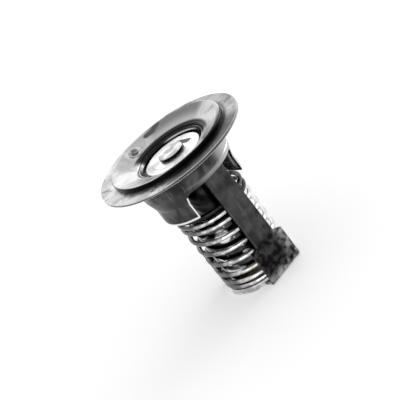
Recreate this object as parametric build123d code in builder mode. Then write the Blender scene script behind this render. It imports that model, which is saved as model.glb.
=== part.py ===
from build123d import *
import math
import os

# Wax thermostat for a water-cooled engine. Millimetres, Z up along the valve axis.
# Z = 0 is the underside of the mounting flange, the frame legs stand on -Y and +Y.
os.makedirs("parts", exist_ok=True)

# ---------------------------------------------------------------- driving sizes
FLANGE_R = 27.0          # outside radius of the mounting flange
FLANGE_T = 1.0           # flange sheet
HAT_SEAT_DEPTH = 0.1     # coined seat for the hat in the flange's top face
HAT_FIT = 0.1            # play round the hat in that seat
WALL_T = 0.9             # collar sheet
FLARE_R = 3.0            # bend from flange to collar wall, underside
WALL_OVER_LEG = 0.8      # collar wall below the shoulder, outside the legs
WALL_STEP = 1.3          # the wall grows by this up the shoulder
WALL_DRAFT = 0.6         # and by this from the shoulder to the flare
WALL_MID_Z = -9.0        # top of the shoulder
WALL_LOW_Z = -13.4       # foot of the shoulder
COLLAR_BOTTOM_Z = -19.7  # underside of the two in-turned spring lips
LIP_T = 0.8
LIP_BEND_R = 1.0
LIP_CLEAR = 1.0          # round the wax capsule that rises between the lips

PORT_HALF_W = 11.4       # punched ports, one on each side, open below
PORT_TOP_Z = -9.7
PORT_CORNER_R = 1.5
BROW_OUT = 0.3           # raised edge over each port
BROW_H = 2.7
BROW_ANGLE = 94.0
BROW_ROOT = 0.5          # how deep the raised edge is set in the wall

HAT_T = 0.8              # bowl sheet
HAT_FOOT = 1.1           # foot of the hat, outside the end of the flare
HAT_TOP_Z = 2.8
HAT_EDGE_R = 0.5
BOWL_IN_Z = 0.1
THROAT_R = 12.95
THROAT_BEND_R = 0.95     # the bowl turns down into the throat
THROAT_LIP_Z = -4.0      # shelf that carries the seat ring
THROAT_LIP_W = 0.95
UNDER_BEND = 0.6         # bend of the bowl's underside into the throat

SEAT_TOP_Z = -0.5
SEAT_RIM_W = 0.65        # flat rim of the seat ring
SEAT_RECESS_W = 1.15     # counterbore round the valve disc, from the throat
SEAT_BEVEL_H = 0.9
SEAT_EDGE = 0.3
SEAT_LAND_H = 1.0        # the seal's land above the throat's shelf
SEAT_LAND_W = 2.4

DISC_CLEAR = 1.1         # round the valve disc in the counterbore
DISC_T = 0.9
DISC_EDGE_R = 0.4
DISC_STEP_W = 2.9        # outer ring of the disc, turned a little lower
DISC_STEP_H = 0.2
SEAL_IN = 0.3            # the seal ends inside the disc's edge
SEAL_T = 0.8
WASHER_CLEAR = 0.5       # round the washer in the seat's bore
WASHER_T = 0.8
CAP_R = 4.6
CAP_H = 1.25
CAP_EDGE_R = 0.4
SPIGOT_R = 3.0
SPIGOT_END = 0.6         # spigot stands this far into the cap
EDGE_BREAK = 0.3         # small bevels on turned pieces

STEM_R = 5.5
STEM_BASE_R = 7.5
STEM_BASE_T = 1.2
STEM_FILLET = 0.6
STEM_BORE_R = 4.3        # the stem is a drawn tube, closed at the top
STEM_ROOF_T = 2.2
STEM_ROOF_BEND = 1.0

CAPSULE_R = 10.7
CAPSULE_H = 20.4
CAPSULE_T = 0.9
CAPSULE_TOP_T = 1.2
CAPSULE_DOME_R = 2.4
CAPSULE_ROOF_BEND = 1.4
CRIMP_T = 0.8
CRIMP_IN = 2.0
CRIMP_R = 0.6
COVER_T = 2.4
COVER_NECK = 0.9         # bevel where the guide meets the cover
GUIDE_R = 4.5
GUIDE_H = 4.9            # the guide stands this far below the capsule
GUIDE_GAP = 0.4          # guide above the foot socket with the valve shut
BOOT_R = 4.2
BOOT_BEVEL = 0.8
BOOT_FLANGE_T = 0.8
PACKING_R = 4.4
PACKING_T = 1.0
PISTON_R = 2.0
PISTON_TIP = 0.5
PISTON_FIT = 0.05        # running fit round the piston
PISTON_REACH = 12.2      # piston above the cover
PISTON_TIP_GAP = 0.4
BOOT_CAP_T = 2.0

FOOT_Z = -54.0           # underside of the frame foot
FRAME_T = 1.0
LEG_GAP = 0.15           # legs outside the widest coil
LEG_HALF_W = 4.4
FOOT_HALF_W = 7.4
SHOULDER_H = 14.0        # the legs widen this far above the foot's underside
SHOULDER_DROP = 1.5
FRAME_BEND_IN = 0.6
TAB_LAND = 2.15          # top tabs turn in this far under the throat

SOCKET_R = 4.2
SOCKET_H = 1.3
SOCKET_SPIGOT_R = 3.0
SOCKET_FLOOR_T = 0.6

WIRE_R = 0.8
WIRE_SIDES = 10
COIL_CLEAR = 0.8         # lowest coil outside the capsule
COIL_TAPER = 0.55        # the mean radius grows by this up to the top coil
COIL_START = 300.0       # where the wire ends below, wound left-handed
SPRING_PITCH = 4.85
LOW_PITCH = 2.0          # close turns on the retainer
LOW_TURNS = 1.0
LOW_RAMP = 1.5           # turns from close to open pitch
HIGH_PITCH = 2.45        # close turns under the collar
HIGH_TURNS = 2.0
HIGH_RAMP = 0.3
END_GROUND = 0.2         # share of the wire's radius ground off each end
RETAINER_GAP = 0.3       # retainer above the foot with the valve shut
RETAINER_T = 0.8
RETAINER_OUT = 0.7       # retainer's edge outside the mean of the lowest coil
RETAINER_RIM_H = 1.9     # the edge turns down by this
RIM_CLEAR = 0.4          # notch in that rim round the foot
CROWN_CLEAR = 0.3        # crown that centres the lowest coil
CROWN_H = 2.4
CROWN_BEND = 1.2
CROWN_SLOPE = 0.5
SNAP_T = 0.6
SNAP_OUT = 1.1
SNAP_GROOVE = 0.6
SNAP_PLAY = 0.02

VENT_ANGLE = 97.0        # jiggle pin, turn about the axis from +X
EYELET_R = 2.4
EYELET_BARREL_R = 1.6
EYELET_BORE_R = 1.0
EYELET_T = 0.4
CLINCH_R = 1.9
CLINCH_T = 0.3
PIN_R = 0.55
PIN_HEAD_R = 1.25
PIN_HEAD_T = 0.6
PIN_BALL_R = 1.3
PIN_TRAVEL = 1.0
VENT_CLEAR_R = 2.8       # hole in the flare round the vent
VENT_CLEAR_DEPTH = 7.0

# ---------------------------------------------------------------- derived sizes
# coil, legs, collar and hat, from the capsule outward
COIL_LOW_R = CAPSULE_R + COIL_CLEAR + WIRE_R
COIL_HIGH_R = COIL_LOW_R + COIL_TAPER
LEG_IN_Y = COIL_HIGH_R + WIRE_R + LEG_GAP
LEG_OUT_Y = LEG_IN_Y + FRAME_T
WALL_LOW_R = LEG_OUT_Y + WALL_OVER_LEG
WALL_MID_R = WALL_LOW_R + WALL_STEP
FLARE_WALL_R = WALL_MID_R + WALL_DRAFT
FLARE_END_R = FLARE_WALL_R + FLARE_R
HAT_R = FLARE_END_R + HAT_FOOT
HAT_SEAT_Z = FLANGE_T - HAT_SEAT_DEPTH
LIP_HOLE_R = CAPSULE_R + LIP_CLEAR
LIP_TOP_Z = COLLAR_BOTTOM_Z + LIP_T

# throat, seat and disc, from the throat inward
BOWL_IN_R = THROAT_R + THROAT_BEND_R
BOWL_SLOPE = math.atan2(HAT_TOP_Z - BOWL_IN_Z, HAT_R - HAT_EDGE_R - BOWL_IN_R)
THROAT_OUT_R = THROAT_R + HAT_T
THROAT_LIP_R = THROAT_R - THROAT_LIP_W
THROAT_BOTTOM_Z = THROAT_LIP_Z - HAT_T
SEAT_TOP_R = THROAT_R - SEAT_RIM_W
SEAT_RECESS_R = THROAT_R - SEAT_RECESS_W
SEAT_BORE_R = SEAT_RECESS_R - SEAT_LAND_W
SEAT_LAND_Z = THROAT_LIP_Z + SEAT_LAND_H
DISC_R = SEAT_RECESS_R - DISC_CLEAR
DISC_STEP_R = DISC_R - DISC_STEP_W
DISC_BOTTOM_Z = SEAT_LAND_Z + SEAL_T
DISC_TOP_Z = DISC_BOTTOM_Z + DISC_T
SEAL_R = DISC_R - SEAL_IN
WASHER_R = SEAT_BORE_R - WASHER_CLEAR
WASHER_Z = SEAT_LAND_Z - WASHER_T

# foot, retainer and capsule, from the foot upward
FOOT_TOP_Z = FOOT_Z + FRAME_T
SHOULDER_Z = FOOT_Z + SHOULDER_H
SOCKET_TOP_Z = FOOT_TOP_Z + SOCKET_H
SOCKET_FLOOR_Z = FOOT_Z + SOCKET_FLOOR_T
RETAINER_Z = FOOT_TOP_Z + RETAINER_GAP
RETAINER_R = COIL_LOW_R + RETAINER_OUT
CROWN_R = COIL_LOW_R - WIRE_R - CROWN_CLEAR
CROWN_Z = RETAINER_Z + CROWN_H
SPRING_BOTTOM_Z = RETAINER_Z + RETAINER_T
SPRING_TOP_Z = COLLAR_BOTTOM_Z
GUIDE_END_Z = SOCKET_TOP_Z + GUIDE_GAP
CAPSULE_BOTTOM_Z = GUIDE_END_Z + GUIDE_H
CAPSULE_TOP_Z = CAPSULE_BOTTOM_Z + CAPSULE_H
CAPSULE_ROOF_Z = CAPSULE_TOP_Z - CAPSULE_TOP_T
CAPSULE_IN_R = CAPSULE_R - CAPSULE_T
COVER_Z = CAPSULE_BOTTOM_Z + CRIMP_T
COVER_TOP_Z = COVER_Z + COVER_T
PISTON_TOP_Z = COVER_TOP_Z + PISTON_REACH
BOOT_IN_Z = PISTON_TOP_Z + PISTON_TIP_GAP
BOOT_TOP_Z = BOOT_IN_Z + BOOT_CAP_T
PISTON_BORE_R = PISTON_R + PISTON_FIT
SNAP_Z = CROWN_Z - SNAP_T
SNAP_R = GUIDE_R + SNAP_OUT
SNAP_GROOVE_R = GUIDE_R - SNAP_GROOVE

# the vent stands half way up the bowl, square to its slope
VENT_R = (BOWL_IN_R + HAT_R - HAT_T) / 2
vent_turn = math.radians(VENT_ANGLE)
vent_z = BOWL_IN_Z + (VENT_R - BOWL_IN_R) * math.tan(BOWL_SLOPE)
vent_out = Vector(math.cos(vent_turn), math.sin(vent_turn), 0)
vent_up = Vector(0, 0, 1) * math.cos(BOWL_SLOPE) - vent_out * math.sin(BOWL_SLOPE)
vent_plane = Plane(
    origin=vent_out * VENT_R + Vector(0, 0, vent_z),
    x_dir=Vector(-math.sin(vent_turn), math.cos(vent_turn), 0),
    z_dir=vent_up,
)


def half_plane(turn):
    """Vertical half plane at a turn about Z, in degrees, local x is the radius."""
    a = math.radians(turn)
    return Plane(
        origin=(0, 0, 0),
        x_dir=(math.cos(a), math.sin(a), 0),
        z_dir=(math.sin(a), -math.cos(a), 0),
    )


def half_section(*points):
    """Closed half section of a turned piece, as (radius, height) points."""
    with BuildSketch(Plane.XZ) as section:
        with BuildLine():
            Polyline(*points, close=True)
        make_face()
    return section.sketch


def named(builder, name):
    """Label one finished piece and write its STEP file."""
    builder.part.label = name
    export_step(builder.part, f"parts/{name}.step")


def elbow(centre, radius, sign_x, sign_z):
    """Middle point of a quarter bend, on the diagonal from its centre."""
    reach = radius * math.sqrt(0.5)
    return (centre[0] + sign_x * reach, centre[1] + sign_z * reach)


# ---------------------------------------------------------------- flange and collar
flare_centre = (FLARE_END_R, -FLARE_R)
flare_in_r = FLARE_R + HAT_SEAT_Z
lip_centre = (WALL_LOW_R - LIP_BEND_R, COLLAR_BOTTOM_Z + LIP_BEND_R)
with BuildPart() as flange_collar:
    with BuildSketch(Plane.XZ):
        with BuildLine():
            Line((FLANGE_R, 0), (FLARE_END_R, 0))
            ThreePointArc(
                (FLARE_END_R, 0),
                elbow(flare_centre, FLARE_R, -1, 1),
                (FLARE_WALL_R, -FLARE_R),
            )
            Polyline(
                (FLARE_WALL_R, -FLARE_R),
                (WALL_MID_R, WALL_MID_Z),
                (WALL_LOW_R, WALL_LOW_Z),
                (WALL_LOW_R, lip_centre[1]),
            )
            ThreePointArc(
                (WALL_LOW_R, lip_centre[1]),
                elbow(lip_centre, LIP_BEND_R, 1, -1),
                (lip_centre[0], COLLAR_BOTTOM_Z),
            )
            Polyline(
                (lip_centre[0], COLLAR_BOTTOM_Z),
                (LIP_HOLE_R, COLLAR_BOTTOM_Z),
                (LIP_HOLE_R, LIP_TOP_Z),
                (WALL_LOW_R - WALL_T, LIP_TOP_Z),
                (WALL_LOW_R - WALL_T, WALL_LOW_Z),
                (WALL_MID_R - WALL_T, WALL_MID_Z),
                (FLARE_END_R - flare_in_r, -FLARE_R),
            )
            ThreePointArc(
                (FLARE_END_R - flare_in_r, -FLARE_R),
                elbow(flare_centre, flare_in_r, -1, 1),
                (FLARE_END_R, HAT_SEAT_Z),
            )
            Polyline(
                (FLARE_END_R, HAT_SEAT_Z),
                (HAT_R + HAT_FIT, HAT_SEAT_Z),
                (HAT_R + HAT_FIT, FLANGE_T),
                (FLANGE_R, FLANGE_T),
                (FLANGE_R, 0),
            )
        make_face()
    revolve(axis=Axis.Z)
    # raised brow over each port
    brow_in_r = WALL_MID_R - BROW_ROOT
    brow_top_z = PORT_TOP_Z + BROW_H
    brow_mid = (WALL_MID_R + BROW_OUT, PORT_TOP_Z + BROW_H / 2)
    for side in (-90, 90):
        with BuildSketch(half_plane(side - BROW_ANGLE / 2)):
            with BuildLine():
                Line((brow_in_r, PORT_TOP_Z), (brow_in_r, brow_top_z))
                ThreePointArc((brow_in_r, brow_top_z), brow_mid, (brow_in_r, PORT_TOP_Z))
            make_face()
        revolve(axis=Axis.Z, revolution_arc=BROW_ANGLE)
    # the ports run out through the bottom and leave a lip on each side for the spring
    port_end_z = COLLAR_BOTTOM_Z - 2 * PORT_CORNER_R
    with BuildSketch(Plane.XZ.offset(-FLANGE_R)):
        with Locations((0, (PORT_TOP_Z + port_end_z) / 2)):
            RectangleRounded(2 * PORT_HALF_W, PORT_TOP_Z - port_end_z, PORT_CORNER_R)
    extrude(amount=2 * FLANGE_R, mode=Mode.SUBTRACT)
    with Locations(vent_plane.offset(-VENT_CLEAR_DEPTH / 2)):
        Cylinder(VENT_CLEAR_R, VENT_CLEAR_DEPTH, mode=Mode.SUBTRACT)
named(flange_collar, "flange_collar")


# ---------------------------------------------------------------- hat, bowl and throat
def bowl_under(radius):
    """Point of the bowl's underside at a radius."""
    top = BOWL_IN_Z + (radius - BOWL_IN_R) * math.tan(BOWL_SLOPE)
    return (radius, top - HAT_T / math.cos(BOWL_SLOPE))


under_start = bowl_under(THROAT_OUT_R + UNDER_BEND)
under_end = bowl_under(HAT_R - HAT_T)
hat_edge_centre = (HAT_R - HAT_EDGE_R, HAT_TOP_Z - HAT_EDGE_R)
throat_bend_centre = (BOWL_IN_R, BOWL_IN_Z - THROAT_BEND_R)
with BuildPart() as hat_bowl:
    with BuildSketch(Plane.XZ):
        with BuildLine():
            Line((HAT_R, HAT_SEAT_Z), (HAT_R, hat_edge_centre[1]))
            ThreePointArc(
                (HAT_R, hat_edge_centre[1]),
                elbow(hat_edge_centre, HAT_EDGE_R, 1, 1),
                (hat_edge_centre[0], HAT_TOP_Z),
            )
            Line((hat_edge_centre[0], HAT_TOP_Z), (BOWL_IN_R, BOWL_IN_Z))
            ThreePointArc(
                (BOWL_IN_R, BOWL_IN_Z),
                elbow(throat_bend_centre, THROAT_BEND_R, -1, 1),
                (THROAT_R, throat_bend_centre[1]),
            )
            Polyline(
                (THROAT_R, throat_bend_centre[1]),
                (THROAT_R, THROAT_LIP_Z),
                (THROAT_LIP_R, THROAT_LIP_Z),
                (THROAT_LIP_R, THROAT_BOTTOM_Z),
                (THROAT_OUT_R, THROAT_BOTTOM_Z),
                (THROAT_OUT_R, under_start[1] - UNDER_BEND),
                under_start,
                under_end,
                (HAT_R - HAT_T, HAT_SEAT_Z),
                (HAT_R, HAT_SEAT_Z),
            )
        make_face()
    revolve(axis=Axis.Z)
    with Locations(vent_plane):
        Cylinder(EYELET_BARREL_R, 2 * VENT_CLEAR_R, mode=Mode.SUBTRACT)
    # flat spot face under the eyelet
    with Locations(vent_plane.offset(EYELET_R / 2)):
        Cylinder(EYELET_R, EYELET_R, mode=Mode.SUBTRACT)
named(hat_bowl, "hat_bowl")

# ---------------------------------------------------------------- seat ring
with BuildPart() as seat_ring:
    revolve(
        half_section(
            (THROAT_R, THROAT_LIP_Z),
            (THROAT_R, SEAT_TOP_Z - SEAT_EDGE),
            (THROAT_R - SEAT_EDGE, SEAT_TOP_Z),
            (SEAT_TOP_R, SEAT_TOP_Z),
            (SEAT_RECESS_R, SEAT_TOP_Z - SEAT_BEVEL_H),
            (SEAT_RECESS_R, SEAT_LAND_Z),
            (SEAT_BORE_R, SEAT_LAND_Z),
            (SEAT_BORE_R, THROAT_BOTTOM_Z),
            (THROAT_LIP_R, THROAT_BOTTOM_Z),
            (THROAT_LIP_R, THROAT_LIP_Z),
        ),
        axis=Axis.Z,
    )
named(seat_ring, "seat_ring")

# ---------------------------------------------------------------- valve disc stack
disc_edge_centre = (DISC_R - DISC_EDGE_R, DISC_TOP_Z - DISC_STEP_H - DISC_EDGE_R)
with BuildPart() as valve_disc:
    with BuildSketch(Plane.XZ):
        with BuildLine():
            Polyline(
                (disc_edge_centre[0], DISC_TOP_Z - DISC_STEP_H),
                (DISC_STEP_R + DISC_STEP_H, DISC_TOP_Z - DISC_STEP_H),
                (DISC_STEP_R, DISC_TOP_Z),
                (SPIGOT_R, DISC_TOP_Z),
                (SPIGOT_R, DISC_BOTTOM_Z),
                (DISC_R, DISC_BOTTOM_Z),
                (DISC_R, disc_edge_centre[1]),
            )
            ThreePointArc(
                (DISC_R, disc_edge_centre[1]),
                elbow(disc_edge_centre, DISC_EDGE_R, 1, 1),
                (disc_edge_centre[0], DISC_TOP_Z - DISC_STEP_H),
            )
        make_face()
    revolve(axis=Axis.Z)
named(valve_disc, "valve_disc")

with BuildPart() as valve_seal:
    revolve(
        half_section(
            (SPIGOT_R, SEAT_LAND_Z),
            (SEAL_R, SEAT_LAND_Z),
            (SEAL_R, DISC_BOTTOM_Z),
            (SPIGOT_R, DISC_BOTTOM_Z),
        ),
        axis=Axis.Z,
    )
named(valve_seal, "valve_seal")

with BuildPart() as backing_washer:
    revolve(
        half_section(
            (SPIGOT_R, WASHER_Z),
            (WASHER_R - EDGE_BREAK, WASHER_Z),
            (WASHER_R, WASHER_Z + EDGE_BREAK),
            (WASHER_R, SEAT_LAND_Z),
            (SPIGOT_R, SEAT_LAND_Z),
        ),
        axis=Axis.Z,
    )
named(backing_washer, "backing_washer")

cap_top_z = DISC_TOP_Z + CAP_H
cap_inside_z = DISC_TOP_Z + SPIGOT_END
cap_edge_centre = (CAP_R - CAP_EDGE_R, cap_top_z - CAP_EDGE_R)
with BuildPart() as stem_cap:
    with BuildSketch(Plane.XZ):
        with BuildLine():
            Polyline(
                (cap_edge_centre[0], cap_top_z),
                (0, cap_top_z),
                (0, cap_inside_z),
                (SPIGOT_R, cap_inside_z),
                (SPIGOT_R, DISC_TOP_Z),
                (CAP_R, DISC_TOP_Z),
                (CAP_R, cap_edge_centre[1]),
            )
            ThreePointArc(
                (CAP_R, cap_edge_centre[1]),
                elbow(cap_edge_centre, CAP_EDGE_R, 1, 1),
                (cap_edge_centre[0], cap_top_z),
            )
        make_face()
    revolve(axis=Axis.Z)
named(stem_cap, "stem_cap")

stem_base_top_z = CAPSULE_TOP_Z + STEM_BASE_T
stem_roof_z = WASHER_Z - STEM_ROOF_T
with BuildPart() as valve_stem:
    revolve(
        half_section(
            (STEM_BORE_R, CAPSULE_TOP_Z),
            (STEM_BASE_R, CAPSULE_TOP_Z),
            (STEM_BASE_R, stem_base_top_z - EDGE_BREAK),
            (STEM_BASE_R - EDGE_BREAK, stem_base_top_z),
            (STEM_R + STEM_FILLET, stem_base_top_z),
            (STEM_R, stem_base_top_z + STEM_FILLET),
            (STEM_R, WASHER_Z),
            (SPIGOT_R, WASHER_Z),
            (SPIGOT_R, cap_inside_z),
            (0, cap_inside_z),
            (0, stem_roof_z),
            (STEM_BORE_R, stem_roof_z - STEM_ROOF_BEND),
        ),
        axis=Axis.Z,
    )
named(valve_stem, "valve_stem")

# ---------------------------------------------------------------- wax capsule
crimp_in_r = CAPSULE_R - CRIMP_IN
dome_centre = (CAPSULE_R - CAPSULE_DOME_R, CAPSULE_TOP_Z - CAPSULE_DOME_R)
crimp_centre = (CAPSULE_R - CRIMP_R, CAPSULE_BOTTOM_Z + CRIMP_R)
roof_corner = (CAPSULE_IN_R - CAPSULE_ROOF_BEND, CAPSULE_ROOF_Z)
roof_side = (CAPSULE_IN_R, CAPSULE_ROOF_Z - CAPSULE_ROOF_BEND)
with BuildPart() as wax_cup:
    with BuildSketch(Plane.XZ):
        with BuildLine():
            Line((0, CAPSULE_TOP_Z), (dome_centre[0], CAPSULE_TOP_Z))
            ThreePointArc(
                (dome_centre[0], CAPSULE_TOP_Z),
                elbow(dome_centre, CAPSULE_DOME_R, 1, 1),
                (CAPSULE_R, dome_centre[1]),
            )
            Line((CAPSULE_R, dome_centre[1]), (CAPSULE_R, crimp_centre[1]))
            ThreePointArc(
                (CAPSULE_R, crimp_centre[1]),
                elbow(crimp_centre, CRIMP_R, 1, -1),
                (crimp_centre[0], CAPSULE_BOTTOM_Z),
            )
            Polyline(
                (crimp_centre[0], CAPSULE_BOTTOM_Z),
                (crimp_in_r, CAPSULE_BOTTOM_Z),
                (crimp_in_r, COVER_Z),
                (CAPSULE_IN_R, COVER_Z),
                roof_side,
                roof_corner,
                (0, CAPSULE_ROOF_Z),
                (0, CAPSULE_TOP_Z),
            )
        make_face()
    revolve(axis=Axis.Z)
named(wax_cup, "wax_cup")

with BuildPart() as element_cover:
    revolve(
        half_section(
            (PISTON_BORE_R, GUIDE_END_Z),
            (GUIDE_R, GUIDE_END_Z),
            (GUIDE_R, SNAP_Z - SNAP_PLAY),
            (SNAP_GROOVE_R, SNAP_Z - SNAP_PLAY),
            (SNAP_GROOVE_R, SNAP_Z + SNAP_T),
            (GUIDE_R, SNAP_Z + SNAP_T),
            (GUIDE_R, COVER_Z - COVER_NECK),
            (GUIDE_R + COVER_NECK, COVER_Z),
            (CAPSULE_IN_R, COVER_Z),
            (CAPSULE_IN_R, COVER_TOP_Z),
            (PACKING_R, COVER_TOP_Z),
            (PACKING_R, COVER_TOP_Z - PACKING_T),
            (PISTON_BORE_R, COVER_TOP_Z - PACKING_T),
        ),
        axis=Axis.Z,
    )
named(element_cover, "element_cover")

with BuildPart() as packing_ring:
    revolve(
        half_section(
            (PISTON_BORE_R, COVER_TOP_Z - PACKING_T),
            (PACKING_R, COVER_TOP_Z - PACKING_T),
            (PACKING_R, COVER_TOP_Z),
            (PISTON_BORE_R, COVER_TOP_Z),
        ),
        axis=Axis.Z,
    )
named(packing_ring, "packing_ring")

boot_flange_z = COVER_TOP_Z + BOOT_FLANGE_T
boot_corner = (BOOT_R - BOOT_BEVEL, BOOT_TOP_Z)
boot_side = (BOOT_R, BOOT_TOP_Z - BOOT_BEVEL)
with BuildPart() as rubber_boot:
    revolve(
        half_section(
            (PISTON_BORE_R, COVER_TOP_Z),
            (CAPSULE_IN_R, COVER_TOP_Z),
            (CAPSULE_IN_R, boot_flange_z),
            (BOOT_R, boot_flange_z),
            boot_side,
            boot_corner,
            (0, BOOT_TOP_Z),
            (0, BOOT_IN_Z),
            (PISTON_BORE_R, BOOT_IN_Z),
        ),
        axis=Axis.Z,
    )
named(rubber_boot, "rubber_boot")

with BuildPart() as wax_charge:
    revolve(
        half_section(
            (BOOT_R, boot_flange_z),
            (CAPSULE_IN_R, boot_flange_z),
            roof_side,
            roof_corner,
            (0, CAPSULE_ROOF_Z),
            (0, BOOT_TOP_Z),
            boot_corner,
            boot_side,
        ),
        axis=Axis.Z,
    )
named(wax_charge, "wax_charge")

with BuildPart() as piston:
    revolve(
        half_section(
            (0, SOCKET_FLOOR_Z),
            (PISTON_R, SOCKET_FLOOR_Z),
            (PISTON_R, PISTON_TOP_Z - PISTON_TIP),
            (PISTON_R - PISTON_TIP, PISTON_TOP_Z),
            (0, PISTON_TOP_Z),
        ),
        axis=Axis.Z,
    )
named(piston, "piston")

# ---------------------------------------------------------------- frame
# the strap is drawn on the middle of its sheet, from one top tab round to the other
tab_y = THROAT_OUT_R - TAB_LAND
tab_z = THROAT_BOTTOM_Z - FRAME_T / 2
leg_y = LEG_OUT_Y - FRAME_T / 2
foot_z = FOOT_Z + FRAME_T / 2
strap_line = [(tab_y, tab_z), (leg_y, tab_z), (leg_y, foot_z)]
strap_line += [(-y, z) for y, z in reversed(strap_line)]
strap_top_z = THROAT_BOTTOM_Z + FRAME_T
strap_end_z = FOOT_Z - FRAME_T
with BuildPart() as frame_strap:
    with BuildSketch(Plane.YZ):
        with BuildLine():
            bent = FilletPolyline(*strap_line, radius=FRAME_BEND_IN + FRAME_T / 2)
            offset(bent, amount=FRAME_T / 2, side=Side.BOTH)
        make_face()
    extrude(amount=FOOT_HALF_W, both=True)
    # the legs are narrower than the foot
    with BuildSketch(Plane.XZ.offset(-2 * LEG_OUT_Y)):
        with BuildLine():
            Polyline(
                (-LEG_HALF_W, strap_top_z),
                (LEG_HALF_W, strap_top_z),
                (LEG_HALF_W, SHOULDER_Z),
                (FOOT_HALF_W, SHOULDER_Z - SHOULDER_DROP),
                (FOOT_HALF_W, strap_end_z),
                (-FOOT_HALF_W, strap_end_z),
                (-FOOT_HALF_W, SHOULDER_Z - SHOULDER_DROP),
                (-LEG_HALF_W, SHOULDER_Z),
                close=True,
            )
        make_face()
    extrude(amount=4 * LEG_OUT_Y, mode=Mode.INTERSECT)
    with Locations((0, 0, foot_z)):
        Cylinder(SOCKET_SPIGOT_R, 2 * FRAME_T, mode=Mode.SUBTRACT)
named(frame_strap, "frame_strap")

with BuildPart() as foot_socket:
    revolve(
        half_section(
            (0, FOOT_Z),
            (SOCKET_SPIGOT_R, FOOT_Z),
            (SOCKET_SPIGOT_R, FOOT_TOP_Z),
            (SOCKET_R, FOOT_TOP_Z),
            (SOCKET_R, SOCKET_TOP_Z - EDGE_BREAK),
            (SOCKET_R - EDGE_BREAK, SOCKET_TOP_Z),
            (PISTON_R, SOCKET_TOP_Z),
            (PISTON_R, SOCKET_FLOOR_Z),
            (0, SOCKET_FLOOR_Z),
        ),
        axis=Axis.Z,
    )
named(foot_socket, "foot_socket")

# ---------------------------------------------------------------- spring and its retainer
crown_top_z = CROWN_Z + RETAINER_T
rim_end_z = SPRING_BOTTOM_Z - RETAINER_RIM_H
with BuildPart() as spring_retainer:
    revolve(
        half_section(
            (GUIDE_R, CROWN_Z),
            (GUIDE_R, crown_top_z),
            (CROWN_R - CROWN_BEND, crown_top_z),
            (CROWN_R - CROWN_SLOPE, crown_top_z - RETAINER_T),
            (CROWN_R, SPRING_BOTTOM_Z),
            (RETAINER_R - EDGE_BREAK, SPRING_BOTTOM_Z),
            (RETAINER_R, SPRING_BOTTOM_Z - EDGE_BREAK),
            (RETAINER_R, rim_end_z),
            (RETAINER_R - RETAINER_T, rim_end_z),
            (RETAINER_R - RETAINER_T, RETAINER_Z),
            (CROWN_R - RETAINER_T, RETAINER_Z),
            (CROWN_R - CROWN_SLOPE - RETAINER_T, CROWN_Z - RETAINER_T),
            (CROWN_R - CROWN_BEND - RETAINER_T / 2, CROWN_Z),
        ),
        axis=Axis.Z,
    )
    # the turned-down rim is notched where it passes the foot
    with Locations((0, 0, (RETAINER_Z + rim_end_z) / 2)):
        Box(
            2 * (FOOT_HALF_W + RIM_CLEAR),
            4 * RETAINER_R,
            RETAINER_Z - rim_end_z,
            mode=Mode.SUBTRACT,
        )
named(spring_retainer, "spring_retainer")

with BuildPart() as snap_ring:
    revolve(
        half_section(
            (SNAP_GROOVE_R, SNAP_Z),
            (SNAP_R, SNAP_Z),
            (SNAP_R, SNAP_Z + SNAP_T),
            (SNAP_GROOVE_R, SNAP_Z + SNAP_T),
        ),
        axis=Axis.Z,
    )
named(snap_ring, "snap_ring")

coil_low_z = SPRING_BOTTOM_Z + WIRE_R * (1 - END_GROUND)
coil_high_z = SPRING_TOP_Z - WIRE_R * (1 - END_GROUND)
coil_rise = coil_high_z - coil_low_z
low_rise = LOW_TURNS * LOW_PITCH + LOW_RAMP * (LOW_PITCH + SPRING_PITCH) / 2
high_rise = HIGH_TURNS * HIGH_PITCH + HIGH_RAMP * (HIGH_PITCH + SPRING_PITCH) / 2
open_turns = (coil_rise - low_rise - high_rise) / SPRING_PITCH
all_turns = LOW_TURNS + LOW_RAMP + open_turns + HIGH_RAMP + HIGH_TURNS
POINTS_PER_TURN = 10
coil_steps = round(all_turns * POINTS_PER_TURN)


def ramp_rise(turns, end_turns, ramp_turns, end_pitch):
    """Rise of so many turns counted from one end, through its ramp to the open pitch."""
    on_ramp = min(max(turns - end_turns, 0), ramp_turns)
    growth = (SPRING_PITCH - end_pitch) / ramp_turns
    past_ramp = max(turns - end_turns - ramp_turns, 0)
    close_rise = end_pitch * (min(turns, end_turns) + on_ramp)
    return close_rise + growth * on_ramp**2 / 2 + SPRING_PITCH * past_ramp


def coil_height(turn):
    """Height of the wire's middle after so many turns from the bottom end."""
    turns_left = all_turns - turn
    if turns_left < HIGH_TURNS + HIGH_RAMP:
        return coil_high_z - ramp_rise(turns_left, HIGH_TURNS, HIGH_RAMP, HIGH_PITCH)
    return coil_low_z + ramp_rise(turn, LOW_TURNS, LOW_RAMP, LOW_PITCH)


coil_points = []
for step in range(coil_steps + 1):
    turn = all_turns * step / coil_steps
    height = coil_height(turn)
    radius = COIL_LOW_R + COIL_TAPER * (height - coil_low_z) / coil_rise
    angle = math.radians(COIL_START - 360 * turn)
    coil_points.append((radius * math.cos(angle), radius * math.sin(angle), height))

# the wire's corners stand out a little, so its sides lie about the true radius
WIRE_CORNER = 1.025
with BuildPart() as return_spring:
    with BuildLine():
        coil = Spline(*coil_points)
    with BuildSketch(Plane(origin=coil @ 0, z_dir=coil % 0)):
        RegularPolygon(WIRE_R * WIRE_CORNER, WIRE_SIDES)
    sweep(path=coil, is_frenet=True)
    # ground flat at both ends
    with BuildSketch(Plane.XY.offset(SPRING_BOTTOM_Z)):
        Circle(COIL_HIGH_R + 2 * WIRE_R)
    extrude(amount=SPRING_TOP_Z - SPRING_BOTTOM_Z, mode=Mode.INTERSECT)
named(return_spring, "return_spring")

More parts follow.
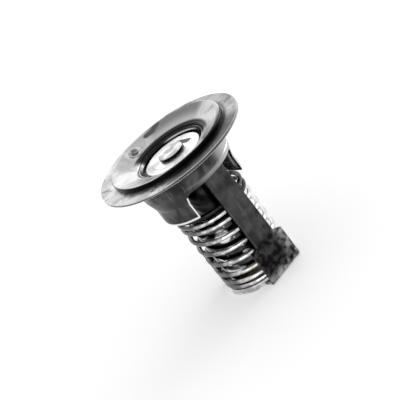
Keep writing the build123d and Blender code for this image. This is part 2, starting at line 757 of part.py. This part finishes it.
# ---------------------------------------------------------------- vent with jiggle pin
clinch_z = -HAT_T - CLINCH_T
with BuildPart() as vent_eyelet:
    with BuildSketch(vent_plane):
        Circle(EYELET_R)
    extrude(amount=EYELET_T)
    with BuildSketch(vent_plane.offset(clinch_z)):
        Circle(EYELET_BARREL_R)
    extrude(amount=-clinch_z)
    with BuildSketch(vent_plane.offset(clinch_z)):
        Circle(CLINCH_R)
    extrude(amount=CLINCH_T)
    with BuildSketch(vent_plane.offset(clinch_z)):
        Circle(EYELET_BORE_R)
    extrude(amount=EYELET_T - clinch_z, mode=Mode.SUBTRACT)
named(vent_eyelet, "vent_eyelet")

ball_middle = clinch_z - PIN_TRAVEL - PIN_BALL_R
with BuildPart() as jiggle_pin:
    with BuildSketch(vent_plane.offset(EYELET_T)):
        Circle(PIN_HEAD_R)
    extrude(amount=PIN_HEAD_T)
    with BuildSketch(vent_plane.offset(ball_middle)):
        Circle(PIN_R)
    extrude(amount=EYELET_T - ball_middle)
    with Locations(vent_plane.offset(ball_middle)):
        Sphere(PIN_BALL_R)
named(jiggle_pin, "jiggle_pin")
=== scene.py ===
import math

import bpy
from mathutils import Matrix, Vector


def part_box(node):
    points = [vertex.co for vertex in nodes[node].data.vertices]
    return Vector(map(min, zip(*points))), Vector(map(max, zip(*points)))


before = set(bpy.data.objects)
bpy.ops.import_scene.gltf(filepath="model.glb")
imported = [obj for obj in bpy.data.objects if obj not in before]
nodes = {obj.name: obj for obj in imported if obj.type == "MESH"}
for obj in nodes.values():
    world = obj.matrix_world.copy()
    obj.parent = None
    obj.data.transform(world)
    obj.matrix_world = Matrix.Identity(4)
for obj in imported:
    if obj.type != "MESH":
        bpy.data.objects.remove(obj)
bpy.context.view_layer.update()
scene = bpy.context.scene
MM = 0.001

# ---------------------------------------------------------------- places on the part
strap_low, strap_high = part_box("frame_strap")
hat_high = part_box("hat_bowl")[1]
seat_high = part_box("seat_ring")[1]
COLLAR_LOW_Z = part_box("flange_collar")[0].z
COLLAR_SHOULDER_LOW = -13.4 * MM
COLLAR_SHOULDER_HIGH = -9.0 * MM
PORT_TOP_Z = -9.7 * MM
PORT_HALF_W = 11.4 * MM
FLOOR_Z = strap_low.z
FOOT_SHOULDER_Z = FLOOR_Z + 14.0 * MM
FOOT_HALF_W = strap_high.x
HAT_R = hat_high.x
HAT_TOP_Z = hat_high.z
SEAT_R = seat_high.x
SEAT_TOP_Z = seat_high.z
DISC_RIM_R = 10.2 * MM
DISC_TOP_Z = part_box("valve_disc")[1].z
CAP_TOP_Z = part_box("stem_cap")[1].z
SPRING_TOP_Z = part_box("return_spring")[1].z

# sides of the part, as turns about the valve axis in degrees
HIGHLIGHT_SIDE = -20.0
BROW_SIDE = -72.0
NEAR_SIDE = -90.0
WIRE_LIT_SIDE = -131.0
SHEEN_SIDE = 175.0
SHADED_THROAT_SIDE = 38.0
BOWL_DARK_REFLECTION_SIDE = 35.0
SEAT_LIT_SIDE = 25.0
FLANGE_DARKER_SIDE = 10.0

# spots and strokes of painted shadow, painted light and painted reflections
# painted shadow of the disc's step on its far side
DISC_STEP_SHADOW = ((5.24 * MM, 2.59 * MM, DISC_TOP_Z), (6.1 * MM, -2.6 * MM, DISC_TOP_Z))
# pool of light painted on the inner face of a tab, near its lower corner
TAB_LIGHT_POOL = ((14.3 * MM, -5.5 * MM, -15.5 * MM), (14.5 * MM, -4.0 * MM, COLLAR_LOW_Z))
# pale spots painted as reflections on the wax capsule
CAPSULE_REFLECTIONS = ((-9.8 * MM, -4.4 * MM, -45.8 * MM), (-8.0 * MM, -7.2 * MM, -31.5 * MM))
# dark strokes painted near the bowl's far rim as a dark reflection
BOWL_DARK_REFLECTIONS = (
    ((5.6 * MM, 18.3 * MM, 2.4 * MM), (8.0 * MM, 17.4 * MM, 2.2 * MM)),
    ((8.0 * MM, 17.4 * MM, 2.2 * MM), (11.0 * MM, 17.6 * MM, 2.4 * MM)),
)

# where a noise starts and ends its change from the first tone to the second
SOFT = (0.3, 0.7)
PATCHY = (0.35, 0.65)
CRISP = (0.35, 0.6)


# ---------------------------------------------------------------- node helpers
class Shader:
    """Builds one material's node tree on top of a Principled surface."""

    BEVEL_SAMPLES = 6
    EDGE_TURN = (0.995, 0.9)    # cosine of the normal's turn, where an edge starts and is full
    INWARD = (-2.0 * MM, -6.0 * MM)    # normal times radius, where facing inward starts and is full

    def __init__(self, name, colour, roughness, metallic=1.0):
        self.material = bpy.data.materials.new(name)
        self.material.use_nodes = True
        self.tree = self.material.node_tree
        self.surface = self.tree.nodes["Principled BSDF"]
        self.surface.inputs["Base Color"].default_value = (*grey(colour), 1.0)
        self.surface.inputs["Roughness"].default_value = roughness
        self.surface.inputs["Metallic"].default_value = metallic
        self.place = self.tree.nodes.new("ShaderNodeTexCoord").outputs["Object"]
        self.normal = self.tree.nodes.new("ShaderNodeNewGeometry").outputs["Normal"]
        parts = self.tree.nodes.new("ShaderNodeSeparateXYZ")
        self.join(self.place, parts.inputs["Vector"])
        self.x, self.y, self.z = parts.outputs
        self.height = None

    def join(self, output, socket):
        self.tree.links.new(output, socket)

    def math(self, operation, *values):
        """One math node; a value is a number or another node's output."""
        made = self.tree.nodes.new("ShaderNodeMath")
        made.operation = operation
        for socket, value in zip(made.inputs, values):
            if isinstance(value, (int, float)):
                socket.default_value = value
            else:
                self.join(value, socket)
        return made.outputs["Value"]

    def radius(self):
        """Distance from the valve axis."""
        squares = [self.math("POWER", along, 2) for along in (self.x, self.y)]
        return self.math("SQRT", self.math("ADD", *squares))

    def toward(self, azimuth):
        """Cosine of the turn between a point and a direction round the valve axis."""
        turn = math.radians(azimuth)
        along_x = self.math("MULTIPLY", self.x, math.cos(turn))
        along_y = self.math("MULTIPLY", self.y, math.sin(turn))
        return self.math("DIVIDE", self.math("ADD", along_x, along_y), self.radius())

    def step(self, value, start, end):
        """Smooth 0 to 1 while the value goes from start to end."""
        made = self.tree.nodes.new("ShaderNodeMapRange")
        made.interpolation_type = "SMOOTHSTEP"
        made.inputs["From Min"].default_value = start
        made.inputs["From Max"].default_value = end
        self.join(value, made.inputs["Value"])
        return made.outputs["Result"]

    def above(self, height, fade):
        """1 above a height, reached over a fade that starts there."""
        return self.step(self.z, height, height + fade)

    def below(self, height, fade):
        return self.step(self.z, height, height - fade)

    def outside(self, radius, fade):
        """1 outside a radius from the valve axis, reached over a fade that starts there."""
        return self.step(self.radius(), radius, radius + fade)

    def inside(self, radius, fade):
        return self.step(self.radius(), radius, radius - fade)

    def beside(self, azimuth, start, full):
        """1 on one side of the part; start and full are cosines of the turn from that side."""
        return self.step(self.toward(azimuth), start, full)

    def both(self, first, second):
        return self.math("MULTIPLY", first, second)

    def either(self, first, second):
        return self.math("MAXIMUM", first, second)

    def noise(self, scale, detail=4.0, stretch=(1.0, 1.0, 1.0), distortion=0.0, shift=0.0):
        """Noise of so many cells to a metre, squeezed along an axis by its stretch."""
        place = self.tree.nodes.new("ShaderNodeMapping")
        place.inputs["Scale"].default_value = stretch
        place.inputs["Location"].default_value = (shift, shift, shift)
        made = self.tree.nodes.new("ShaderNodeTexNoise")
        made.inputs["Scale"].default_value = scale
        made.inputs["Detail"].default_value = detail
        made.inputs["Distortion"].default_value = distortion
        self.join(self.place, place.inputs["Vector"])
        self.join(place.outputs["Vector"], made.inputs["Vector"])
        return made.outputs["Fac"]

    def rings(self, pitch):
        """Marks of a turning tool, as heights that rise and fall once a pitch."""
        turns = self.math("DIVIDE", self.radius(), pitch)
        return self.math("PINGPONG", turns, 0.5)

    def inward(self):
        """1 where the surface faces the valve axis, 0 elsewhere."""
        product = self.tree.nodes.new("ShaderNodeVectorMath")
        product.operation = "DOT_PRODUCT"
        level = self.tree.nodes.new("ShaderNodeCombineXYZ")
        self.join(self.x, level.inputs["X"])
        self.join(self.y, level.inputs["Y"])
        self.join(level.outputs["Vector"], product.inputs[0])
        self.join(self.normal, product.inputs[1])
        return self.step(product.outputs["Value"], *self.INWARD)

    def near(self, spot, reach, core):
        """1 at a spot, fading from a core's share of the reach to 0 at the reach."""
        return self.step(self.gap(spot), reach, reach * core)

    def gap(self, spot):
        """Distance from a spot, given as a place or as another node's output."""
        made = self.tree.nodes.new("ShaderNodeVectorMath")
        made.operation = "DISTANCE"
        self.join(self.place, made.inputs[0])
        if isinstance(spot, bpy.types.NodeSocket):
            self.join(spot, made.inputs[1])
        else:
            made.inputs[1].default_value = spot
        return made.outputs["Value"]

    def stroke(self, start, end, reach, core=0.5):
        """1 along a line between two spots, fading to 0 at a distance from it."""
        start, end = Vector(start), Vector(end)
        along = (end - start) / (end - start).length_squared
        offset = self.tree.nodes.new("ShaderNodeVectorMath")
        offset.operation = "SUBTRACT"
        offset.inputs[1].default_value = start
        self.join(self.place, offset.inputs[0])
        share = self.tree.nodes.new("ShaderNodeVectorMath")
        share.operation = "DOT_PRODUCT"
        share.inputs[1].default_value = along
        self.join(offset.outputs["Vector"], share.inputs[0])
        foot = self.tree.nodes.new("ShaderNodeMix")
        foot.data_type = "VECTOR"
        self.join(share.outputs["Value"], foot.inputs["Factor"])
        ends = [made for made in foot.inputs if made.type == "VECTOR" and made.name in "AB"]
        for socket, value in zip(ends, (start, end)):
            socket.default_value = value
        nearest = next(made for made in foot.outputs if made.type == "VECTOR")
        return self.step(self.gap(nearest), reach, reach * core)

    def edges(self, reach):
        """1 on sharp edges and 0 away from them."""
        bevel = self.tree.nodes.new("ShaderNodeBevel")
        bevel.samples = self.BEVEL_SAMPLES
        bevel.inputs["Radius"].default_value = reach
        product = self.tree.nodes.new("ShaderNodeVectorMath")
        product.operation = "DOT_PRODUCT"
        self.join(bevel.outputs["Normal"], product.inputs[0])
        self.join(self.normal, product.inputs[1])
        return self.step(product.outputs["Value"], *self.EDGE_TURN)

    def mix(self, share, first, second):
        """Colour between two greys or colours, or other nodes' outputs."""
        made = self.tree.nodes.new("ShaderNodeMix")
        made.data_type = "RGBA"
        low, high = (socket for socket in made.inputs if socket.type == "RGBA")
        self.join(share, made.inputs["Factor"])
        for socket, value in ((low, first), (high, second)):
            if isinstance(value, bpy.types.NodeSocket):
                self.join(value, socket)
            else:
                socket.default_value = (*grey(value), 1.0)
        return next(socket for socket in made.outputs if socket.type == "RGBA")

    def paint(self, base, mask, tone, share=1.0):
        """Lays a tone over a base where the mask is 1, or only a share of it."""
        return self.mix(mask if share == 1.0 else self.both(mask, share), base, tone)

    def clouded(self, noise, first, second, spread=PATCHY):
        """From one tone to another with a noise."""
        return self.mix(self.step(noise, *spread), first, second)

    def colour(self, output):
        self.join(output, self.surface.inputs["Base Color"])

    def roughness(self, output):
        self.join(output, self.surface.inputs["Roughness"])

    def bump(self, height, depth):
        """Relief of so many metres, on top of any relief given before."""
        made = self.tree.nodes.new("ShaderNodeBump")
        made.inputs["Distance"].default_value = depth
        self.join(height, made.inputs["Height"])
        if self.height:
            self.join(self.height, made.inputs["Normal"])
        self.height = made.outputs["Normal"]
        self.join(self.height, self.surface.inputs["Normal"])


def grey(value):
    """A grey from one number, or a colour as it is."""
    return value if isinstance(value, tuple) else (value, value, value)


def scaled(colour, share):
    return tuple(part * share for part in grey(colour))


# ---------------------------------------------------------------- materials
MOULD_GRAIN = 1800
MOULD_DEPTH = 0.02 * MM


def plated_sheet():
    """Flange and collar: pale worn face on top, dark drawn sheet below, with painted highlights on
    the bends, edges, port tops and one side, a pool of light painted on one tab, and painted shade
    under the flange, on the downward-facing band, on the inner faces and on parts of the face.
    """
    shader = Shader("plated_sheet", 0.2, 0.35)
    clouds = shader.noise(140, distortion=0.6)

    wall = shader.clouded(clouds, 0.025, 0.09)
    streaks = shader.noise(500, stretch=(1.0, 1.0, 0.12))
    wall = shader.paint(wall, shader.step(streaks, 0.55, 0.8), tone=0.12)
    # painted shade on the downward-facing band of the collar
    shoulder_shade = shader.both(
        shader.above(COLLAR_SHOULDER_LOW, fade=1.5 * MM),
        shader.below(COLLAR_SHOULDER_HIGH + 1.0 * MM, fade=2.0 * MM),
    )
    wall = shader.paint(wall, shoulder_shade, tone=0.035, share=0.7)
    # painted shade under the flange
    under_flange_shade = shader.above(-6.5 * MM, fade=3.5 * MM)
    wall = shader.paint(wall, under_flange_shade, tone=0.03, share=0.75)
    # painted highlight along the top edge of the port, on one side
    brow_highlight = shader.both(
        shader.above(PORT_TOP_Z, fade=0.3 * MM),
        shader.below(PORT_TOP_Z + 2.2 * MM, fade=0.8 * MM),
    )
    brow_highlight = shader.both(brow_highlight, shader.beside(BROW_SIDE, start=0.6, full=0.95))
    wall = shader.paint(wall, brow_highlight, tone=0.3, share=0.85)
    # one side of the collar painted paler as a highlight
    rubbed_and_lit = shader.beside(HIGHLIGHT_SIDE, start=0.35, full=0.8)
    wall = shader.paint(wall, rubbed_and_lit, tone=0.6, share=0.75)
    # painted highlight along the lower bend
    bend_highlight = shader.below(COLLAR_LOW_Z + 1.3 * MM, fade=0.4 * MM)
    wall = shader.paint(wall, bend_highlight, tone=0.9)
    # painted highlight on the side edges of the ports
    port_side = shader.step(
        shader.math("ABSOLUTE", shader.x), PORT_HALF_W + 0.4 * MM, PORT_HALF_W + 0.25 * MM
    )
    cut_edge_highlight = shader.both(port_side, shader.below(PORT_TOP_Z - 0.8 * MM, fade=0.6 * MM))
    wall = shader.paint(wall, cut_edge_highlight, tone=0.92)
    # inner faces painted near black as shade, with a pool of light painted near the lower corner of
    # a tab
    scale = shader.both(shader.stroke(*TAB_LIGHT_POOL, reach=2.9 * MM, core=0.7), shader.inward())
    wall = shader.mix(shader.inward(), wall, shader.mix(scale, 0.012, 0.95))

    face = shader.clouded(clouds, 0.42, 0.68, spread=SOFT)
    # the flange face is darker towards one end
    darker_end = shader.beside(FLANGE_DARKER_SIDE, start=0.3, full=0.85)
    face = shader.mix(darker_end, face, shader.clouded(clouds, 0.14, 0.34, spread=CRISP))
    spots = shader.step(shader.noise(420, detail=6.0), 0.56, 0.7)
    face = shader.paint(face, spots, tone=0.2)
    # painted shade on the near side of the flange face
    near_side_shade = shader.beside(NEAR_SIDE, start=0.6, full=0.85)
    face = shader.paint(face, near_side_shade, tone=0.06, share=0.92)
    # painted shade on the flange face round the foot of the hat, except towards one side
    hat_corner_shade = shader.both(
        shader.inside(HAT_R + 1.8 * MM, fade=1.3 * MM),
        shader.beside(SHEEN_SIDE, start=0.4, full=-0.2),
    )
    face = shader.paint(face, hat_corner_shade, tone=0.02, share=0.8)

    sheet = shader.mix(shader.above(0.2 * MM, fade=0.6 * MM), wall, face)
    # painted highlights on sharp edges near the flange and the lower bend
    edge_highlight_heights = shader.either(
        shader.above(-2.0 * MM, fade=1.0 * MM),
        shader.below(COLLAR_LOW_Z + 4.0 * MM, fade=1.0 * MM),
    )
    edge_highlights = shader.both(edge_highlight_heights, shader.edges(0.35 * MM))
    shader.colour(shader.paint(sheet, edge_highlights, tone=0.7))
    shader.roughness(shader.clouded(clouds, 0.42, 0.26, spread=SOFT))
    shader.bump(shader.noise(900), 0.03 * MM)
    shader.bump(shader.noise(90), 0.12 * MM)
    return shader.material


def bowl_sheet():
    """Hat and bowl: bright pressed sheet, with its outer wall, near rim and far throat painted dark
    as shade and its far side painted darker as a reflection.
    """
    shader = Shader("bowl_sheet", 0.7, 0.22)
    clouds = shader.noise(110, distortion=0.8)
    bright = shader.clouded(clouds, 0.42, 0.68)
    # the far side painted darker as a reflection
    dark_reflection = shader.mix(shader.inside(SEAT_R + 6.5 * MM, fade=5.0 * MM), 0.2, 0.5)
    sheet = shader.mix(shader.beside(BOWL_DARK_REFLECTION_SIDE, start=0.76, full=0.9), bright, dark_reflection)
    stains = shader.step(shader.noise(260, detail=6.0, shift=3.0), 0.58, 0.72)
    sheet = shader.paint(sheet, stains, tone=0.25, share=0.6)
    # dark strokes painted near the far rim as a dark reflection
    for mark in BOWL_DARK_REFLECTIONS:
        sheet = shader.paint(sheet, shader.stroke(*mark, reach=1.5 * MM, core=0.5), tone=0.09)
    # painted shade in the throat, on its far side
    throat = shader.both(
        shader.inside(SEAT_R + 2.5 * MM, fade=1.1 * MM),
        shader.beside(SHADED_THROAT_SIDE, start=0.0, full=0.3),
    )
    sheet = shader.paint(sheet, throat, tone=0.012)
    # painted shade on the near side of the rim
    near_rim_shade = shader.both(
        shader.outside(HAT_R - 2.2 * MM, fade=1.0 * MM),
        shader.beside(NEAR_SIDE, start=0.5, full=0.85),
    )
    sheet = shader.paint(sheet, near_rim_shade, tone=0.03)
    # the hat's outer wall painted near black as shade
    wall = shader.mix(shader.below(HAT_TOP_Z - 1.5 * MM, fade=0.6 * MM), 0.006, 0.05)
    shader.colour(shader.mix(shader.outside(HAT_R - 0.35 * MM, fade=0.25 * MM), sheet, wall))
    shader.roughness(shader.clouded(clouds, 0.32, 0.16, spread=SOFT))
    shader.bump(shader.rings(0.5 * MM), 0.006 * MM)
    shader.bump(shader.noise(160), 0.06 * MM)
    return shader.material


def seat_steel():
    """Seat ring: turned, painted dark as shade on its far side and lighter on the other, with a
    painted highlight along one side of its rim.
    """
    shader = Shader("seat_steel", 0.4, 0.25)
    clouds = shader.noise(260, distortion=0.5)
    # lighter on one side, painted dark as shade on the far side
    lit_tone = shader.clouded(clouds, 0.18, 0.35)
    shaded_tone = shader.clouded(clouds, 0.015, 0.05, spread=(0.5, 0.75))
    body = shader.mix(shader.beside(SHADED_THROAT_SIDE, start=0.0, full=0.3), lit_tone, shaded_tone)
    # painted highlight along one side of the rim
    rim = shader.both(
        shader.above(SEAT_TOP_Z - 1.3 * MM, fade=0.2 * MM),
        shader.below(SEAT_TOP_Z - 0.35 * MM, fade=0.25 * MM),
    )
    rim = shader.both(rim, shader.beside(SEAT_LIT_SIDE, start=0.75, full=0.95))
    shader.colour(shader.paint(body, rim, tone=0.45))
    shader.roughness(shader.clouded(clouds, 0.34, 0.2, spread=SOFT))
    shader.bump(shader.rings(0.25 * MM), 0.004 * MM)
    return shader.material


def turned_steel(name, low, high, pitch=0.12 * MM):
    """Turned piece with fine rings, dark and bright patches and painted highlights on its edges."""
    shader = Shader(name, high, 0.25)
    clouds = shader.noise(260, distortion=0.5)
    body = shader.clouded(clouds, low, high)
    # edges painted pale as a highlight
    shader.colour(shader.paint(body, shader.edges(0.2 * MM), tone=0.9))
    shader.roughness(shader.clouded(clouds, 0.34, 0.2, spread=SOFT))
    shader.bump(shader.rings(pitch), 0.004 * MM)
    return shader.material


def disc_steel():
    """Valve disc: pale and clean, with faint turning rings and a painted shadow along one side of
    its step.
    """
    shader = Shader("disc_steel", 0.88, 0.28)
    clouds = shader.noise(130, distortion=0.7, shift=5.0)
    body = shader.clouded(clouds, 0.62, 0.92, spread=(0.3, 0.62))
    body = shader.paint(body, shader.outside(DISC_RIM_R, fade=0.4 * MM), tone=0.45)
    # a stroke painted near black as the shadow of the step
    step_shadow = shader.stroke(*DISC_STEP_SHADOW, reach=1.5 * MM, core=0.6)
    shader.colour(shader.paint(body, step_shadow, tone=0.03))
    shader.roughness(shader.clouded(clouds, 0.36, 0.24, spread=SOFT))
    shader.bump(shader.rings(0.4 * MM), 0.006 * MM)
    return shader.material


def cap_steel():
    """Closed end of the stem: pale face, with its side painted near black as shade in the corner of
    the disc.
    """
    shader = Shader("cap_steel", 0.7, 0.3)
    clouds = shader.noise(240, distortion=0.9, shift=2.0)
    face = shader.clouded(clouds, 0.45, 0.85, spread=CRISP)
    face = shader.paint(face, shader.inside(2.6 * MM, fade=1.8 * MM), tone=0.3, share=0.6)
    # the side painted near black as shade
    side = shader.below(CAP_TOP_Z - 0.22 * MM, fade=0.12 * MM)
    shader.colour(shader.paint(face, side, tone=0.008))
    shader.roughness(shader.clouded(clouds, 0.4, 0.25, spread=SOFT))
    shader.bump(shader.noise(500), 0.02 * MM)
    return shader.material


def strap_steel():
    """Frame strap: matt dark sheet, stained near the foot, worn paler near one side and the bottom,
    with painted highlights on its edges.
    """
    shader = Shader("strap_steel", 0.06, 0.5)
    clouds = shader.noise(160, distortion=0.8)
    body = shader.clouded(clouds, 0.03, 0.075, spread=SOFT)
    grain = shader.noise(700, stretch=(1.0, 1.0, 0.15))
    body = shader.paint(body, shader.step(grain, 0.5, 0.85), tone=0.1)
    blots = shader.step(shader.noise(420, detail=6.0, distortion=0.3), 0.4, 0.62)
    at_foot = shader.below(FOOT_SHOULDER_Z + 3.0 * MM, fade=4.0 * MM)
    body = shader.mix(at_foot, body, shader.mix(blots, 0.006, 0.045))
    rubbed_and_lit = shader.either(
        shader.step(shader.x, 2.0 * MM, FOOT_HALF_W - 1.0 * MM),
        shader.below(FLOOR_Z + 4.5 * MM, fade=3.5 * MM),
    )
    patches = shader.step(shader.noise(420, detail=5.0, shift=7.0), *PATCHY)
    body = shader.paint(body, shader.both(shader.both(at_foot, rubbed_and_lit), patches), tone=0.42)
    # edges painted lighter as a highlight
    shader.colour(shader.paint(body, shader.edges(0.2 * MM), tone=0.2))
    shader.roughness(shader.mix(blots, 0.62, 0.42))
    shader.bump(shader.noise(600), 0.03 * MM)
    shader.bump(shader.noise(120), 0.1 * MM)
    return shader.material


def spring_wire():
    """Drawn wire: bright, with painted shade on its undersides, away from its lit side and on the
    top turns, and a painted highlight on one side.
    """
    shader = Shader("spring_wire", 0.8, 0.16)
    clouds = shader.noise(500, detail=5.0)
    wire = shader.clouded(clouds, 0.4, 0.8, spread=CRISP)
    # undersides painted dark as shade
    facing = shader.tree.nodes.new("ShaderNodeSeparateXYZ")
    shader.join(shader.normal, facing.inputs["Vector"])
    wire = shader.paint(wire, shader.step(facing.outputs["Z"], -0.1, -0.8), tone=0.03)
    shaded = shader.beside(WIRE_LIT_SIDE, start=0.98, full=0.8)
    wire = shader.paint(wire, shaded, tone=0.05, share=0.85)
    # one side painted pale as a highlight
    side_highlight = shader.beside(HIGHLIGHT_SIDE, start=0.2, full=0.6)
    wire = shader.paint(wire, side_highlight, tone=0.8, share=0.8)
    # the top turns painted near black as the flange's shadow, lower down on the highlight side
    shaded_top_turns = shader.either(
        shader.above(SPRING_TOP_Z - 3.4 * MM, fade=1.6 * MM),
        shader.both(side_highlight, shader.above(SPRING_TOP_Z - 6.4 * MM, fade=1.4 * MM)),
    )
    shader.colour(shader.paint(wire, shaded_top_turns, tone=0.02))
    shader.roughness(shader.clouded(clouds, 0.26, 0.12, spread=SOFT))
    shader.bump(shader.noise(700), 0.01 * MM)
    return shader.material


def capsule_brass():
    """Wax capsule: dark and shiny, with pale patches painted as reflections."""
    shader = Shader("capsule_brass", 0.05, 0.12)
    body = shader.clouded(shader.noise(190, distortion=0.5), 0.02, 0.08, spread=SOFT)
    # pale patches painted as reflections, some of them at given spots
    reflection_noise = shader.noise(260, detail=3.0, stretch=(1.0, 1.0, 1.6), shift=4.0)
    patches = shader.step(reflection_noise, 0.6, 0.66)
    for spot in CAPSULE_REFLECTIONS:
        patches = shader.either(patches, shader.near(spot, reach=3.0 * MM, core=0.7))
    shader.colour(shader.paint(body, patches, tone=0.85))
    shader.roughness(shader.mix(patches, 0.1, 0.25))
    shader.bump(shader.noise(300), 0.03 * MM)
    return shader.material


def moulded(name, colour, roughness):
    """Rubber, packing or wax: soft surface with a fine grain."""
    shader = Shader(name, colour, roughness, metallic=0.0)
    shader.colour(shader.clouded(shader.noise(300), scaled(colour, 0.7), colour, spread=SOFT))
    shader.bump(shader.noise(MOULD_GRAIN), MOULD_DEPTH)
    return shader.material


def sheened_rubber():
    """Valve seal: black rubber, painted paler on one side as a sheen."""
    shader = Shader("sheened_rubber", 0.02, 0.5, metallic=0.0)
    shader.colour(shader.mix(shader.beside(SHEEN_SIDE, start=0.3, full=0.8), 0.02, 0.3))
    shader.bump(shader.noise(MOULD_GRAIN), MOULD_DEPTH)
    return shader.material


BRASS = (0.42, 0.33, 0.16)
WAX = (0.55, 0.45, 0.25)
rubber = moulded("seal_rubber", 0.02, 0.55)
polished = turned_steel("ground_steel", 0.3, 0.6, 0.3 * MM)
brass = turned_steel("turned_brass", scaled(BRASS, 0.5), BRASS)

FINISHES = {
    "flange_collar": plated_sheet(),
    "hat_bowl": bowl_sheet(),
    "seat_ring": seat_steel(),
    "frame_strap": strap_steel(),
    "foot_socket": brass,
    "piston": polished,
    "vent_eyelet": turned_steel("eyelet_steel", 0.35, 0.7),
    "return_spring": spring_wire(),
    "valve_disc": disc_steel(),
    "valve_seal": sheened_rubber(),
    "backing_washer": turned_steel("turned_steel", 0.14, 0.45),
    "stem_cap": cap_steel(),
    # the stem is painted near black as shade inside the collar
    "valve_stem": turned_steel("stem_steel", 0.01, 0.05),
    "wax_cup": capsule_brass(),
    "element_cover": brass,
    "packing_ring": moulded("packing", 0.6, 0.4),
    "rubber_boot": rubber,
    "wax_charge": moulded("wax", WAX, 0.5),
    "spring_retainer": turned_steel("retainer_steel", 0.35, 0.8, 0.4 * MM),
    "snap_ring": polished,
    "jiggle_pin": turned_steel("pin_steel", 0.12, 0.3),
}
for name, material in FINISHES.items():
    mesh = nodes[name].data
    mesh.materials.clear()
    mesh.materials.append(material)

# ---------------------------------------------------------------- camera
CAMERA_AT = (-0.207616, -0.409921, 0.172569)
LOOK = (0.41252, 0.82454, -0.38724)
RIGHT = (0.59535, -0.56578, -0.57048)
LENS = 135.77
SENSOR = 36.0
CLIP = (0.01, 20.0)

camera_data = bpy.data.cameras.new("camera")
camera_data.lens = LENS
camera_data.sensor_width = SENSOR
camera = bpy.data.objects.new("camera", camera_data)
scene.collection.objects.link(camera)
right = Vector(RIGHT).normalized()
back = -Vector(LOOK).normalized()
up = back.cross(right).normalized()
right = up.cross(back).normalized()
turn = Matrix((right, up, back)).transposed()
camera.matrix_world = Matrix.Translation(CAMERA_AT) @ turn.to_4x4()
camera_data.clip_start, camera_data.clip_end = CLIP
scene.camera = camera

# ---------------------------------------------------------------- floor and world
WHITE = (1.0, 1.0, 1.0, 1.0)
FLOOR_SIZE = 6.0
FLOOR_GREY = 0.8
FLOOR_GLOW = 0.3
bpy.ops.mesh.primitive_plane_add(size=FLOOR_SIZE, location=(0, 0, FLOOR_Z))
floor = bpy.context.object
floor.name = "floor"


def seen_rays(tree):
    """1 for the rays that show the background: camera, glossy and transmission rays."""
    path = tree.nodes.new("ShaderNodeLightPath")
    seen = path.outputs["Is Camera Ray"]
    for name in ("Is Glossy Ray", "Is Transmission Ray"):
        either = tree.nodes.new("ShaderNodeMath")
        either.operation = "MAXIMUM"
        tree.links.new(seen, either.inputs[0])
        tree.links.new(path.outputs[name], either.inputs[1])
        seen = either.outputs["Value"]
    return seen


def strength_by_ray(tree, strength, plain, seen):
    """Sets a strength socket to one value for the rays that show it and another for the rest."""
    span = tree.nodes.new("ShaderNodeMapRange")
    span.inputs["To Min"].default_value = plain
    span.inputs["To Max"].default_value = seen
    tree.links.new(seen_rays(tree), span.inputs["Value"])
    tree.links.new(span.outputs["Result"], strength)


paper = Shader("floor_paper", FLOOR_GREY, roughness=0.9, metallic=0.0)
paper.surface.inputs["Emission Color"].default_value = WHITE
strength_by_ray(paper.tree, paper.surface.inputs["Emission Strength"], 0.0, FLOOR_GLOW)
floor.data.materials.append(paper.material)

SKY_LIGHT = 0.8
SKY_WHITE = 1.0
world = bpy.data.worlds.new("studio")
scene.world = world
world.use_nodes = True
sky = world.node_tree.nodes["Background"]
sky.inputs["Color"].default_value = WHITE
strength_by_ray(world.node_tree, sky.inputs["Strength"], SKY_LIGHT, SKY_WHITE)


LAMP_AIM = Vector((0, 0, -20 * MM))
LAMPS = {    # azimuth and elevation in degrees, distance and size in metres, power in watts
    "back_lamp": (50, 24, 0.6, (0.4, 0.3), 0.15),
    "front_lamp": (-135, 12, 0.5, (0.3, 0.3), 0.3),
    "side_lamp": (0, 12, 0.5, (0.3, 0.3), 0.8),
}


def area_lamp(name, azimuth, elevation, distance, size, power):
    """Soft rectangular lamp, placed by its direction from the part and aimed at it."""
    side, rise = math.radians(azimuth), math.radians(elevation)
    level = math.cos(rise)
    toward = Vector((math.cos(side) * level, math.sin(side) * level, math.sin(rise)))
    data = bpy.data.lights.new(name, "AREA")
    data.shape = "RECTANGLE"
    data.size, data.size_y = size
    data.energy = power
    lamp = bpy.data.objects.new(name, data)
    scene.collection.objects.link(lamp)
    lamp.location = LAMP_AIM + toward * distance
    lamp.rotation_euler = (-toward).to_track_quat("-Z", "Y").to_euler()


for name, place in LAMPS.items():
    area_lamp(name, *place)

scene.view_settings.view_transform = "Standard"
